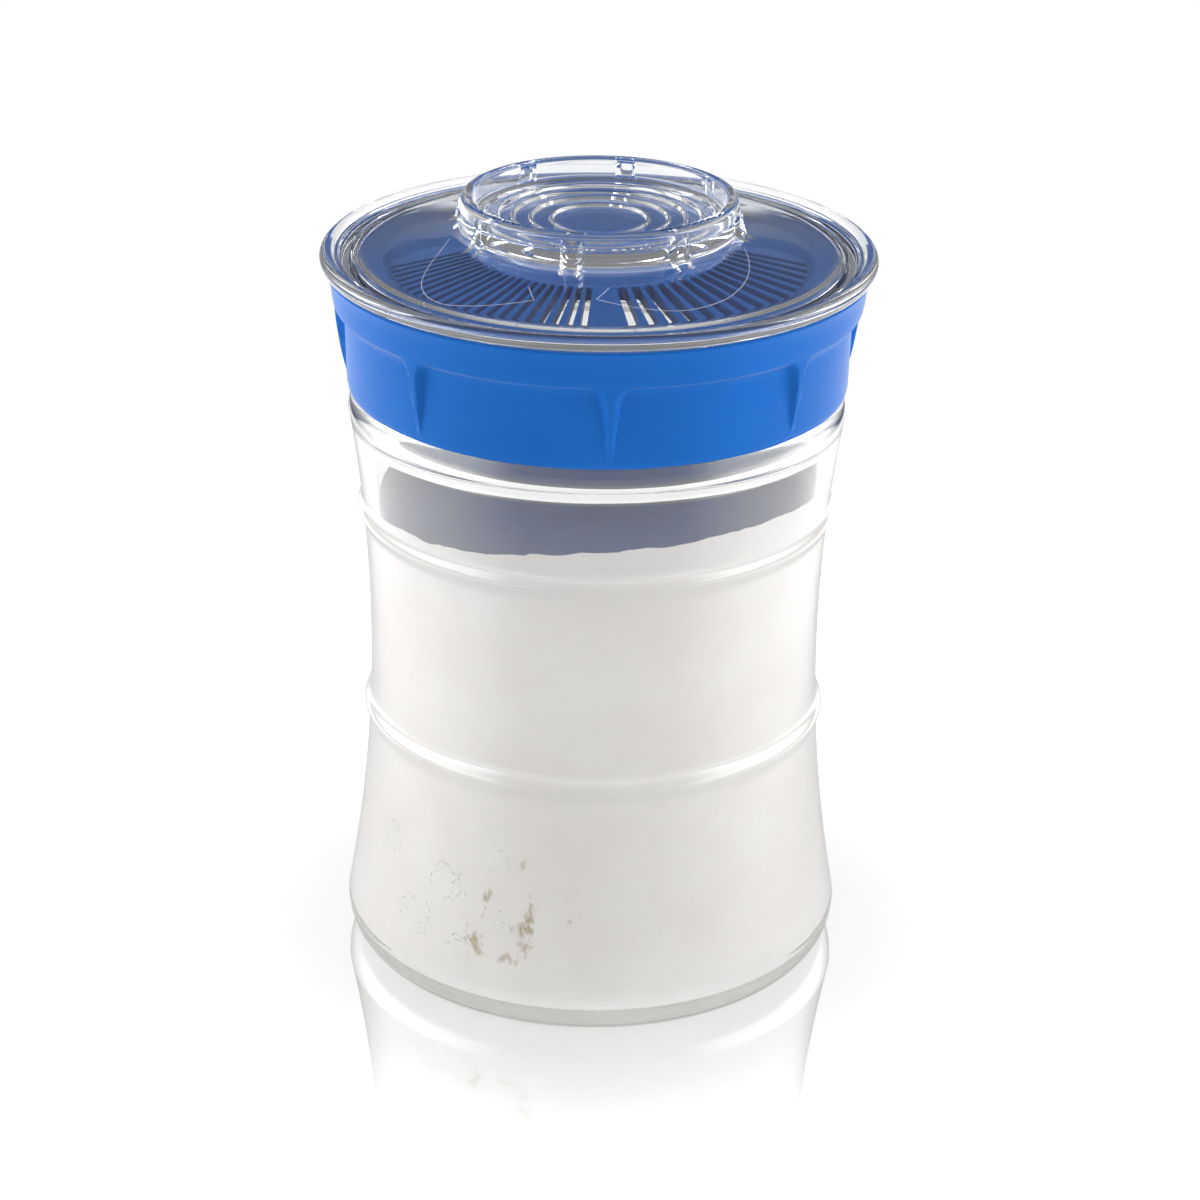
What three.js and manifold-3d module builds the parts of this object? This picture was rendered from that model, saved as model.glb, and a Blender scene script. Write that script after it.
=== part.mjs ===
// Kefir jar: a waisted glass jar with a screw-on strainer lid and a clear upper lid, filled with kefir.
// Millimetres, +Z up. The origin is the centre of the standing face, and the front faces -Y.

import * as THREE from 'three';
import { mergeVertices } from 'three/addons/utils/BufferGeometryUtils.js';
import Module from 'manifold-3d';

const wasm = await Module();
wasm.setup();

// Fits and facets
const CLEARANCE = 0.3; // gap between pieces that rest on each other
const TURN_STEPS = 48; // facets round the axis

// Glass jar
const WAIST_RADIUS = 47.55;
const WAIST_HEIGHT = 70;
const WALL_ARC_RADIUS = 333; // the side wall is one long hollow arc
const SHOULDER_HEIGHT = 121.5;
const SHOULDER_ROUND = 3;
const SHOULDER_LEDGE = 4.6; // step from the side wall in to the neck
const NECK_HEIGHT = 21.5;
const HEEL_HEIGHT = 8;
const FOOT_INSET = 5.2; // standing ring's outer edge, in from the widest part of the heel
const FOOT_WIDTH = 4;
const FOOT_RECESS = 1.2;
const GLASS_WALL = 3.2;
const GLASS_FLOOR = 3.8;
const FLOOR_ROUND = 6.5;
const RIM_ROUND = 1.2;
const MOUTH_CURVE = 12; // height over which the inside draws in to the mouth
const LOWER_BEAD = { height: 54.4, rise: 1.2, half: 3.4 };
const UPPER_BEAD = { height: 99.4, rise: 1, half: 3 };

// Rubber rings
const JAR_SEAL_THICKNESS = 1.9;
const JAR_SEAL_OVERHANG = 1.3; // outside the neck
const UPPER_SEAL_THICKNESS = 1.2;

// Strainer lid: the skirt and its ribs
const THREAD_SPACE = 2.3; // between the neck and the skirt, taken up by the screw thread
const SKIRT_WALL = 2.2;
const SKIRT_GAP = 1.6; // above the shoulder
const BAND_HEIGHT = 7.3; // plain flared band along the top edge
const BAND_FLARE = 1.8;
const BAND_DRAFT = 0.7; // how far the band's middle hangs inside a straight flare
const RIB_COUNT = 8;
const RIB_WIDTH = 3;
const RIB_FOOT_WIDTH = 1.6;
const RIB_FLARE = 2.6; // the rib's spread on each side where it runs into the band
const PANEL_BEVEL = 3; // height of the slanted ledge over each panel
const PANEL_DRAFT = 0.4; // the panel leans out by this much over its height
const PANEL_MARGIN = 1.6; // plain edge under the panels

// Strainer lid: its top
const POCKET_STEP = 0.6; // the seal's pocket is this much inside the skirt's bore
const CHANNEL_WALL = 1.3; // between the seal's pocket and the channel
const CHANNEL_WIDTH = 2.7; // ring channel that takes the upper lid's skirt
const CHANNEL_DEPTH = 6.3;
const CHANNEL_FLOOR = 1.8;
const RIM_WALL = 3.3;
const DECK_THICKNESS = 2;
const DECK_DROP = 0.8; // deck below the top edge
const LIP_GAP = 0.6; // between the mouth and the lid's centring lip
const LIP_DEPTH = 0.8;
const DOME_RISE = 5.1;
const DOME_MARGIN = 0.7; // the dome's edge outside the mouth
const PLATEAU_RADIUS = 21;
const DOME_WALL = 2.8;
const PLATEAU_WALL = 2.1;

// Strainer lid: the sunken strainer field and its slots
const FIELD_DEPTH = 1.3;
const FIELD_MARGIN = 0.8; // inside the dome's edge
const FIELD_HALF_ANGLE = 104;
const FIELD_END_ANGLE = 16; // share of the half angle taken up by the round end
const FIELD_STEPS = 44;
const SLOT_MARGIN = 1.2; // plain edge between the slots and the field's edge
const SLOT_LENGTH = 17;
const FINE_SLOTS = { side: -1, count: 21, first: 7, pitch: 4, width: 1.35 };
const COARSE_SLOTS = { side: 1, count: 15, first: 7.2, pitch: 5.8, width: 2.2 };

// Clear upper lid
const UPPER_SKIRT_WALL = 1.8;
const UPPER_SKIRT_PLAY = 0.5;
const LIP_OVERHANG = 1;
const LIP_HEIGHT = 3.2;
const PLATE_LIFT = 1.9; // plate's outer edge above the lip's underside
const PLATE_THICKNESS = 2.2;
const PLATE_HOLLOW = 0.7; // how far the plate sags below a straight cone
const CHAMBER_HEIGHT = 2.4; // over the strainer's plateau
const RING_RADIUS = 28.2;
const RING_WALL = 2.5;
const RING_FOOT_DROP = 0.9; // the plate meets the ring below the dish's floor
const DISH_DEPTH = 5.6;
const DISH_STEP = 0.2;
const DISH_STEP_RADII = [23.5, 19.4, 15, 10];
const GRIP_COUNT = 8;
const GRIP_WIDTH = 3.4;
const GRIP_REACH = 1.6;
const GRIP_TURN = -14; // degrees from the front

// Contents
const HEADSPACE = 42; // kefir's level below the rim
const GRAIN_GAP = 0.35;
const GRAINS = [
  { angle: -52, height: 17, size: 6.4 },
  { angle: -35, height: 13.5, size: 5.6 },
  { angle: -42, height: 28, size: 5.2 },
  { angle: -21, height: 22, size: 6 },
  { angle: -8, height: 14, size: 5.4 },
  { angle: 4, height: 25, size: 4.8 },
  { angle: -64, height: 31, size: 5 },
  { angle: -27, height: 36, size: 4.6 },
];

// Colours and finishes
const GLASS = { color: 0xf2f5f1, roughness: 0.05, metalness: 0, transparent: true, opacity: 0.3 };
const CLEAR_PLASTIC = { color: 0xf4f6f8, roughness: 0.08, metalness: 0, transparent: true, opacity: 0.35 };
const BLUE_PLASTIC = { color: 0x1a62bb, roughness: 0.45, metalness: 0 };
const SILICONE = { color: 0xe8ebee, roughness: 0.6, metalness: 0 };
const KEFIR = { color: 0xf6f3e9, roughness: 0.4, metalness: 0 };
const GRAIN = { color: 0xf7f1dc, roughness: 0.5, metalness: 0 };

// Heights and radii that follow from the sizes above
const shoulderTop = SHOULDER_HEIGHT + SHOULDER_ROUND;
const rimHeight = shoulderTop + NECK_HEIGHT;
const drawInStart = shoulderTop - MOUTH_CURVE / 2;
const neckRadius = wallRadius(SHOULDER_HEIGHT) - SHOULDER_LEDGE;
const mouthRadius = neckRadius - GLASS_WALL;
const deckUnder = rimHeight + JAR_SEAL_THICKNESS + 2 * CLEARANCE;
const deckTop = deckUnder + DECK_THICKNESS;
const lidTop = deckTop + DECK_DROP;
const boreRadius = neckRadius + THREAD_SPACE;
const pocketRadius = boreRadius - POCKET_STEP;
const channelInner = pocketRadius + CHANNEL_WALL;
const channelOuter = channelInner + CHANNEL_WIDTH;
const channelFloor = lidTop - CHANNEL_DEPTH;
const lidRadius = channelOuter + RIM_WALL;
const skirtBottom = shoulderTop + SKIRT_GAP;
const skirtRadius = boreRadius + SKIRT_WALL;
const bandBottom = lidTop - BAND_HEIGHT;
const bandRadius = lidRadius - BAND_FLARE;
const domeRadius = mouthRadius + DOME_MARGIN;
const plateauTop = deckTop + DOME_RISE;
const fieldOuter = domeRadius - FIELD_MARGIN;
const slotOuter = fieldOuter - SLOT_MARGIN;
const slotInner = slotOuter - SLOT_LENGTH;
const fieldInner = slotInner - SLOT_MARGIN;
const lipUnder = lidTop + CLEARANCE;
const dishFloor = plateauTop + CHAMBER_HEIGHT + PLATE_THICKNESS;
const ringTop = dishFloor + DISH_DEPTH;
const upperSealBottom = channelFloor + CLEARANCE;
const upperSkirtBottom = upperSealBottom + UPPER_SEAL_THICKNESS + CLEARANCE;
const kefirLevel = rimHeight - HEADSPACE;

// Outside radius of the glass side wall at a height, without its beads.
function wallRadius(height) {
  const drop = height - WAIST_HEIGHT;
  return WAIST_RADIUS + WALL_ARC_RADIUS - Math.sqrt(WALL_ARC_RADIUS ** 2 - drop ** 2);
}

function point(radius, height) {
  return new THREE.Vector2(radius, height);
}

// Points of a curve between two heights, both ends included.
function between(low, high, steps, radiusAt) {
  return Array.from({ length: steps + 1 }, (_, i) => {
    const height = low + ((high - low) * i) / steps;
    return point(radiusAt(height), height);
  });
}

// Points of an elliptical quarter round about a centre, from one angle to another in degrees.
function round(centre, radiusAcross, radiusUp, from, to, steps) {
  return Array.from({ length: steps + 1 }, (_, i) => {
    const angle = THREE.MathUtils.degToRad(from + ((to - from) * i) / steps);
    return point(centre.x + radiusAcross * Math.cos(angle), centre.y + radiusUp * Math.sin(angle));
  });
}

// Solid of revolution about +Z from an outline of (radius, height) points, anticlockwise.
function revolve(outline) {
  return new THREE.LatheGeometry(outline, TURN_STEPS).rotateX(Math.PI / 2);
}

function closed(outline) {
  return [...outline, outline[0].clone()];
}

// Place on a circle: angle in degrees from the front, growing towards +X.
function polar(radius, degrees, height) {
  const angle = THREE.MathUtils.degToRad(degrees);
  return new THREE.Vector3(radius * Math.sin(angle), -radius * Math.cos(angle), height);
}

// Closed body through a row of outlines round the axis, each a list of [radius, degrees, height].
function sweepRound(sections) {
  const size = sections[0].length;
  const positions = sections.flat().flatMap(([radius, degrees, height]) => polar(radius, degrees, height).toArray());
  const caps = THREE.ShapeUtils.triangulateShape(sections[0].map(([radius, , height]) => point(radius, height)), []);
  const last = (sections.length - 1) * size;
  const index = [];
  for (let row = 0; row < last; row += size) {
    for (let i = 0; i < size; i += 1) {
      const next = (i + 1) % size;
      index.push(row + i, row + size + i, row + next, row + next, row + size + i, row + size + next);
    }
  }
  for (const [a, b, c] of caps) {
    index.push(a, b, c, last + a, last + c, last + b);
  }
  const geometry = new THREE.BufferGeometry();
  geometry.setAttribute('position', new THREE.Float32BufferAttribute(positions, 3));
  geometry.setIndex(index);
  return geometry;
}

// A geometry as a solid that can be cut and joined.
function solid(geometry) {
  geometry.deleteAttribute('normal');
  geometry.deleteAttribute('uv');
  const merged = mergeVertices(geometry);
  const index = merged.index.array;
  const triangles = [];
  for (let i = 0; i < index.length; i += 3) {
    const [a, b, c] = index.slice(i, i + 3);
    if (a !== b && b !== c && c !== a) {
      triangles.push(a, b, c);
    }
  }
  return new wasm.Manifold(
    new wasm.Mesh({
      numProp: 3,
      vertProperties: new Float32Array(merged.attributes.position.array),
      triVerts: new Uint32Array(triangles),
    }),
  );
}

// A cut or joined solid as a geometry.
function geometryOf(body) {
  const mesh = body.getMesh();
  const geometry = new THREE.BufferGeometry();
  geometry.setAttribute('position', new THREE.BufferAttribute(mesh.vertProperties, 3));
  geometry.setIndex(new THREE.BufferAttribute(mesh.triVerts, 1));
  geometry.computeVertexNormals();
  return geometry;
}

function part(name, geometry, finish) {
  const mesh = new THREE.Mesh(geometry, new THREE.MeshStandardMaterial(finish));
  mesh.name = name;
  return mesh;
}

// Rounded ring of glass standing out of the side wall.
function bead({ height, rise, half }) {
  return between(height - half, height + half, 4, (z) => {
    const swell = Math.cos(((z - height) / half) * (Math.PI / 2)) ** 2;
    return wallRadius(z) + rise * swell;
  });
}

// Inside radius of the glass at a height: a wall inside the outside, drawn in to the mouth at the shoulder.
function hollowRadius(height) {
  const share = THREE.MathUtils.smoothstep(height, drawInStart, drawInStart + MOUTH_CURVE);
  const wall = wallRadius(Math.min(height, SHOULDER_HEIGHT)) - GLASS_WALL;
  return THREE.MathUtils.lerp(wall, mouthRadius, share);
}

function glassJar() {
  const heelRadius = wallRadius(HEEL_HEIGHT);
  const footOuter = heelRadius - FOOT_INSET;
  const footInner = footOuter - FOOT_WIDTH;
  const shoulderRadius = wallRadius(SHOULDER_HEIGHT);
  const shoulderRound = Math.min(SHOULDER_ROUND, SHOULDER_LEDGE);
  const floorEdge = GLASS_FLOOR + FLOOR_ROUND;
  const floorRadius = hollowRadius(floorEdge) - FLOOR_ROUND;
  const neckTop = rimHeight - RIM_ROUND;
  return revolve([
    point(0, FOOT_RECESS),
    point(footInner - FOOT_RECESS, FOOT_RECESS),
    point(footInner, 0),
    ...round(point(footOuter, HEEL_HEIGHT), FOOT_INSET, HEEL_HEIGHT, -90, 0, 4),
    ...between(HEEL_HEIGHT, LOWER_BEAD.height - LOWER_BEAD.half, 3, wallRadius).slice(1, -1),
    ...bead(LOWER_BEAD),
    ...between(LOWER_BEAD.height + LOWER_BEAD.half, UPPER_BEAD.height - UPPER_BEAD.half, 3, wallRadius).slice(1, -1),
    ...bead(UPPER_BEAD),
    ...between(UPPER_BEAD.height + UPPER_BEAD.half, SHOULDER_HEIGHT, 2, wallRadius).slice(1, -1),
    ...round(point(shoulderRadius - shoulderRound, SHOULDER_HEIGHT), shoulderRound, SHOULDER_ROUND, 0, 90, 3),
    point(neckRadius, shoulderTop),
    ...round(point(neckRadius - RIM_ROUND, neckTop), RIM_ROUND, RIM_ROUND, 0, 90, 2),
    ...round(point(mouthRadius + RIM_ROUND, neckTop), RIM_ROUND, RIM_ROUND, 90, 180, 2),
    ...between(drawInStart, drawInStart + MOUTH_CURVE, 4, hollowRadius).reverse(),
    ...between(floorEdge, drawInStart, 5, hollowRadius).reverse().slice(1),
    ...round(point(floorRadius, floorEdge), FLOOR_ROUND, FLOOR_ROUND, 0, -90, 3).slice(1),
    point(0, GLASS_FLOOR),
  ]);
}

// Flat ring of rubber between two radii.
function flatRing(inner, outer, bottom, thickness) {
  const top = bottom + thickness;
  return revolve(closed([point(inner, bottom), point(outer, bottom), point(outer, top), point(inner, top)]));
}

function jarSeal() {
  return flatRing(mouthRadius, neckRadius + JAR_SEAL_OVERHANG, rimHeight + CLEARANCE, JAR_SEAL_THICKNESS);
}

function upperSeal() {
  return flatRing(channelInner + CLEARANCE, channelOuter - CLEARANCE, upperSealBottom, UPPER_SEAL_THICKNESS);
}

// Radius of the skirt over its ribs at a height: straight to the band, then a hollow flare to the top edge.
function skirtOutside(height) {
  if (height <= bandBottom) {
    return THREE.MathUtils.mapLinear(height, skirtBottom, bandBottom, skirtRadius, bandRadius);
  }
  const share = (height - bandBottom) / BAND_HEIGHT;
  return bandRadius + BAND_FLARE * share - BAND_DRAFT * 4 * share * (1 - share) * share;
}

// Height of the strainer dome's upper face at a radius, without the sunken field.
function domeTop(radius) {
  const share = THREE.MathUtils.clamp((domeRadius - radius) / (domeRadius - PLATEAU_RADIUS), 0, 1);
  return deckTop + DOME_RISE * share;
}

function lidShell() {
  const lipRadius = mouthRadius - LIP_GAP;
  return solid(
    revolve([
      point(0, plateauTop - PLATEAU_WALL),
      point(PLATEAU_RADIUS - PLATEAU_WALL, plateauTop - PLATEAU_WALL),
      point(PLATEAU_RADIUS, plateauTop - DOME_WALL),
      point(lipRadius, deckUnder - LIP_DEPTH),
      point(lipRadius, deckUnder),
      point(pocketRadius, deckUnder),
      point(pocketRadius, channelFloor - CHANNEL_FLOOR),
      point(boreRadius, channelFloor - CHANNEL_FLOOR),
      point(boreRadius, skirtBottom),
      ...between(skirtBottom, bandBottom, 1, skirtOutside),
      ...between(bandBottom, lidTop, 4, skirtOutside).slice(1),
      point(channelOuter, lidTop),
      point(channelOuter, channelFloor),
      point(channelInner, channelFloor),
      point(channelInner, deckTop),
      point(domeRadius, deckTop),
      point(PLATEAU_RADIUS, plateauTop),
      point(0, plateauTop),
    ]),
  );
}

// Space cut out of the skirt between two ribs: its floor is the panel, and a slanted ledge closes it above.
function panelCutter(middle) {
  const panelTop = bandBottom - PANEL_BEVEL;
  const panelBottom = skirtBottom + PANEL_MARGIN;
  const outside = lidRadius + CLEARANCE;
  const panelFoot = skirtOutside(panelBottom);
  const panelRadius = panelFoot + PANEL_DRAFT;
  const ledgeSlope = PANEL_BEVEL / (bandRadius - panelRadius);
  const ledgeTop = panelTop + ledgeSlope * (outside - panelRadius);
  const halfPitch = 180 / RIB_COUNT;
  const outline = [
    { radius: panelFoot, height: panelBottom, rib: RIB_FOOT_WIDTH / 2 },
    { radius: outside, height: panelBottom, rib: RIB_FOOT_WIDTH / 2 },
    { radius: outside, height: ledgeTop, rib: RIB_WIDTH / 2 + RIB_FLARE },
    { radius: panelRadius, height: panelTop, rib: RIB_WIDTH / 2 + RIB_FLARE / 3 },
    { radius: panelRadius, height: panelTop - PANEL_BEVEL, rib: RIB_WIDTH / 2 },
  ];
  const shares = [-1, -0.88, -0.6, -0.2, 0.2, 0.6, 0.88, 1];
  return sweepRound(
    shares.map((share) =>
      outline.map(({ radius, height, rib }) => {
        const half = halfPitch - THREE.MathUtils.radToDeg(rib / radius);
        return [radius, middle + share * half, height];
      }),
    ),
  );
}

// Sunken strainer field: a crescent round the front of the dome with rounded ends.
function fieldCutter() {
  const middle = (fieldInner + fieldOuter) / 2;
  const reach = (fieldOuter - fieldInner) / 2;
  const above = plateauTop + FIELD_DEPTH;
  const sections = [];
  for (let i = 0; i <= FIELD_STEPS; i += 1) {
    const angle = -FIELD_HALF_ANGLE * Math.cos((Math.PI * i) / FIELD_STEPS);
    const end = Math.max(0, Math.abs(angle) - (FIELD_HALF_ANGLE - FIELD_END_ANGLE)) / FIELD_END_ANGLE;
    const half = reach * Math.sqrt(Math.max(1 - end * end, 0.01));
    const [inner, outer] = [middle - half, middle + half];
    sections.push([
      [inner, angle, domeTop(inner) - FIELD_DEPTH],
      [outer, angle, domeTop(outer) - FIELD_DEPTH],
      [outer, angle, above],
      [inner, angle, above],
    ]);
  }
  return sweepRound(sections);
}

// One side's straight slots, set out like spokes.
function slotCutters({ side, count, first, pitch, width }) {
  const height = plateauTop - deckUnder + 2 * (DOME_WALL + LIP_DEPTH);
  return Array.from({ length: count }, (_, i) => {
    const degrees = side * (first + pitch * i);
    const slot = new THREE.BoxGeometry(width, SLOT_LENGTH, height);
    slot.rotateZ(THREE.MathUtils.degToRad(degrees));
    slot.translate(...polar(slotInner + SLOT_LENGTH / 2, degrees, (plateauTop + deckUnder) / 2));
    return solid(slot);
  });
}

function strainerLid() {
  let lid = lidShell().subtract(solid(fieldCutter()));
  for (let i = 0; i < RIB_COUNT; i += 1) {
    lid = lid.subtract(solid(panelCutter(((i + 0.5) * 360) / RIB_COUNT)));
  }
  for (const slot of [...slotCutters(FINE_SLOTS), ...slotCutters(COARSE_SLOTS)]) {
    lid = lid.subtract(slot);
  }
  return geometryOf(lid);
}

// Upper face of the clear plate between the skirt and the ring: a cone that sags a little.
function plateTop(radius, outer) {
  const share = (outer - radius) / (outer - RING_RADIUS);
  const edge = lipUnder + PLATE_LIFT;
  const rise = dishFloor - RING_FOOT_DROP - edge;
  return edge + rise * share - PLATE_HOLLOW * 4 * share * (1 - share);
}

function upperLidShell() {
  const skirtOuter = channelOuter - UPPER_SKIRT_PLAY;
  const skirtInner = skirtOuter - UPPER_SKIRT_WALL;
  const lipRadius = lidRadius + LIP_OVERHANG;
  const lipRound = LIP_HEIGHT / 2;
  const ringInner = RING_RADIUS - RING_WALL;
  const dishUnder = dishFloor - PLATE_THICKNESS;
  const plate = (share) => THREE.MathUtils.lerp(skirtInner, RING_RADIUS, share);
  const plateShares = [0, 0.33, 0.66, 1];
  const dish = DISH_STEP_RADII.flatMap((radius, i) => {
    const height = dishFloor + DISH_STEP * (DISH_STEP_RADII.length - i);
    return [point(radius, height), point(radius, height - DISH_STEP)];
  });
  return solid(
    revolve([
      point(0, dishUnder),
      point(ringInner, dishUnder),
      ...plateShares.map((share) => point(plate(1 - share), plateTop(plate(1 - share), skirtInner) - PLATE_THICKNESS)),
      point(skirtInner, upperSkirtBottom),
      point(skirtOuter, upperSkirtBottom),
      point(skirtOuter, lipUnder),
      ...round(point(lipRadius - lipRound, lipUnder + lipRound), lipRound, lipRound, -90, 90, 5),
      ...plateShares.map((share) => point(plate(share), plateTop(plate(share), skirtInner))),
      point(RING_RADIUS, ringTop),
      point(ringInner, ringTop),
      point(ringInner, dish[0].y),
      ...dish,
      point(0, dishFloor),
    ]),
  );
}

// Upright grip on the outside of the ring, standing on the plate.
function grip(degrees) {
  const foot = dishFloor - RING_FOOT_DROP - PLATE_THICKNESS / 2;
  const depth = GRIP_REACH + RING_WALL / 2;
  const block = new THREE.BoxGeometry(GRIP_WIDTH, depth, ringTop - foot);
  block.rotateZ(THREE.MathUtils.degToRad(degrees));
  block.translate(...polar(RING_RADIUS + GRIP_REACH - depth / 2, degrees, (ringTop + foot) / 2));
  return solid(block);
}

function upperLid() {
  let lid = upperLidShell();
  for (let i = 0; i < GRIP_COUNT; i += 1) {
    lid = lid.add(grip(GRIP_TURN + (i * 360) / GRIP_COUNT));
  }
  return geometryOf(lid);
}

// Kefir as a still body that fills the glass up to its level.
function kefirFill() {
  const bottom = GLASS_FLOOR + CLEARANCE;
  const edge = GLASS_FLOOR + FLOOR_ROUND;
  const wall = (height) => hollowRadius(height) - CLEARANCE;
  const turn = FLOOR_ROUND - CLEARANCE;
  return solid(
    revolve([
      point(0, bottom),
      ...round(point(wall(edge) - turn, edge), turn, turn, -90, 0, 3),
      ...between(edge, kefirLevel, 5, wall).slice(1),
      point(0, kefirLevel),
    ]),
  );
}

// Knobbly lump of culture pressed against the glass, with extra size for its pocket.
function grainLump({ angle, height, size }, extra) {
  const lump = new THREE.IcosahedronGeometry(1, 1);
  lump.deleteAttribute('normal');
  lump.deleteAttribute('uv');
  const places = lump.attributes.position;
  const place = new THREE.Vector3();
  for (let i = 0; i < places.count; i += 1) {
    place.fromBufferAttribute(places, i);
    const knob = 1 + 0.12 * Math.sin(5 * place.x + angle) * Math.cos(4 * place.z + height);
    place.multiplyScalar(size * knob + extra);
    places.setXYZ(i, place.x, place.y, place.z);
  }
  lump.scale(1, 1, 0.8);
  lump.translate(...polar(hollowRadius(height) - size / 2, angle, height));
  return solid(lump);
}

function contents() {
  const fill = kefirFill();
  const pockets = GRAINS.reduce((body, grain) => body.subtract(grainLump(grain, GRAIN_GAP)), fill);
  const grains = GRAINS.map((grain, i) =>
    part(`kefir_grain_${i + 1}`, geometryOf(grainLump(grain, 0).intersect(fill)), GRAIN),
  );
  return [part('kefir', geometryOf(pockets), KEFIR), ...grains];
}

const jar = new THREE.Group();
jar.add(
  part('glass_jar', glassJar(), GLASS),
  ...contents(),
  part('jar_seal', jarSeal(), SILICONE),
  part('strainer_lid', strainerLid(), BLUE_PLASTIC),
  part('upper_seal', upperSeal(), SILICONE),
  part('upper_lid', upperLid(), CLEAR_PLASTIC),
);

export default jar;
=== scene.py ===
"""Looks of the kefir jar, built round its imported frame: glass, kefir, strainer lid and clear upper lid.

Sizes are millimetres and become metres where a mesh is made. Angles are degrees from the front (-Y), growing
towards +X. Meshes of revolution are grids: one row for each point of an outline, one column for each angle.
Materials, lamps, floor and room are in metres.
"""

import math

import bmesh
import bpy
import numpy as np
from mathutils import Matrix, Vector, noise


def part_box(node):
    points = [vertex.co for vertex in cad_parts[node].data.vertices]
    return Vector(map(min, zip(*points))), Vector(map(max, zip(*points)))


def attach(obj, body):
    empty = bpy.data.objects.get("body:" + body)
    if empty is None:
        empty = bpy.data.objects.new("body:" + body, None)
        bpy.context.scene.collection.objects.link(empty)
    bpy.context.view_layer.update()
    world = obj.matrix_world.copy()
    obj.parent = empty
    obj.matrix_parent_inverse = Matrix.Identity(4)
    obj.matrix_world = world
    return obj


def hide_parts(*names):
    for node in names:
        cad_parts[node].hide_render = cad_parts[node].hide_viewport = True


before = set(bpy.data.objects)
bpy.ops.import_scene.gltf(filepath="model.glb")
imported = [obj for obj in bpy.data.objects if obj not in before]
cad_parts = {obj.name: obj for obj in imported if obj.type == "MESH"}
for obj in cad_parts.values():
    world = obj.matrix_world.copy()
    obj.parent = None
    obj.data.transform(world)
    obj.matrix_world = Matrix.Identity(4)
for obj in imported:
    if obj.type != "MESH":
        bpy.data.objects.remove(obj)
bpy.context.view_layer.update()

MM = 0.001
FILLET_SHARE = 0.49  # a fillet takes this much of an edge at most
STRAIGHT = 1.55  # half angle, in radians, past which a corner counts as straight


def low(node):
    """Lowest height of a node of the frame."""
    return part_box(node)[0].z / MM


def high(node):
    """Highest height of a node of the frame."""
    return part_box(node)[1].z / MM


def reach(node):
    """Largest radius of a round node of the frame."""
    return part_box(node)[1].x / MM


# Glass jar
WAIST_RADIUS = 47.55
WAIST_HEIGHT = 70.0
WALL_ARC = 333.0
WALL_STEP = 0.4  # height between the rows of the outer wall
SHOULDER_HEIGHT = 121.5
SHOULDER_ROUND = 3.0
SHOULDER_LEDGE = 4.6
HEEL_HEIGHT = 8.0
FOOT_INSET = 5.2
FOOT_WIDTH = 4.0
FOOT_RECESS = 1.2
GLASS_WALL = 3.2
GLASS_FLOOR = 3.8
GLASS_FLOOR_ROUND = 6.5
RIM_ROUND = 1.2
MOUTH_CURVE = 8.0  # height over which the inside is drawn in to the mouth
MOUTH_CURVE_MIDDLE = 121.0
BEADS = [(54.4, 1.2, 4.0), (99.4, 1.0, 3.6)]  # height, rise, half width
JAR_COLUMNS = 224
RIM = high("glass_jar")
SHOULDER_TOP = SHOULDER_HEIGHT + SHOULDER_ROUND
MOUTH_CURVE_BOTTOM = MOUTH_CURVE_MIDDLE - MOUTH_CURVE / 2
MOUTH_CURVE_TOP = MOUTH_CURVE_MIDDLE + MOUTH_CURVE / 2

# Screw threads
NECK_LEAD = 16.0
NECK_STARTS = 4
NECK_STEP = 0.35  # height between the rows of the neck's thread
THREAD_DEPTH = 1.45
THREAD_CREST = 0.45
THREAD_FLANK = 1.0
THREAD_FADE = 2.0
CAP_LEAD = 9.0
CAP_STARTS = 3
CAP_STEP = 0.3  # height between the rows of the clear lid's thread
CAP_THREAD_DEPTH = 0.38

# Strainer lid
THREAD_SPACE = 2.3
SKIRT_WALL = 2.2
BAND_HEIGHT = 7.3
BAND_FLARE = 1.8
BAND_DRAFT = 0.7
RIBS = 8
RIB_CROWN = 0.4  # the rib's edge bows out by this much halfway up
RIB_HALF = 0.5  # half width of a rib at its foot
RIB_SPREAD = 2.0  # growth of the half width up to the band
RIB_FLARE = 2.4  # further growth of the half width below the band
RIB_FLARE_START = 0.74  # share of the climb where that begins
PANEL_MARGIN = 1.6
PANEL_LEAN = 0.4
LEDGE = 2.8
POCKET_STEP = 0.6
CHANNEL_WALL = 1.3
CHANNEL_WIDTH = 2.7
CHANNEL_DEPTH = 6.3
CHANNEL_FLOOR = 1.8
DECK_DROP = 0.8
DECK_THICKNESS = 2.0
DOME_RISE = 5.1
DOME_MARGIN = 0.7
DOME_ROUND = 6.0
DOME_FOOT_ROUND = 4.0
PLATEAU_RADIUS = 21.0
DOME_WALL = 4.4
PLATEAU_WALL = 2.1
PLUG_GAP = 0.6  # between the jar's mouth and the dome's lower edge
PLUG_DEPTH = 0.8
FIELD_DEPTH = 1.3
FIELD_MARGIN = 0.8
FIELD_HALF_ANGLE = 104.0
FIELD_END_ANGLE = 16.0
SLOT_MARGIN = 1.2
SLOT_LENGTH = 17.0
SLOT_END = 0.8  # length of a slot's rounded end
SLOT_SETS = [(-1, 21, 7.0, 4.0, 1.35), (1, 15, 7.2, 5.8, 2.2)]  # side, count, first, pitch, width
DOME_PITCH = 2.2  # degrees between the dome's columns, about
SKIRT_BOTTOM = low("strainer_lid")
PLATEAU_TOP = high("strainer_lid")
LID_RADIUS = reach("strainer_lid")
DECK_TOP = PLATEAU_TOP - DOME_RISE
DECK_UNDER = DECK_TOP - DECK_THICKNESS
LID_TOP = DECK_TOP + DECK_DROP

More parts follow.
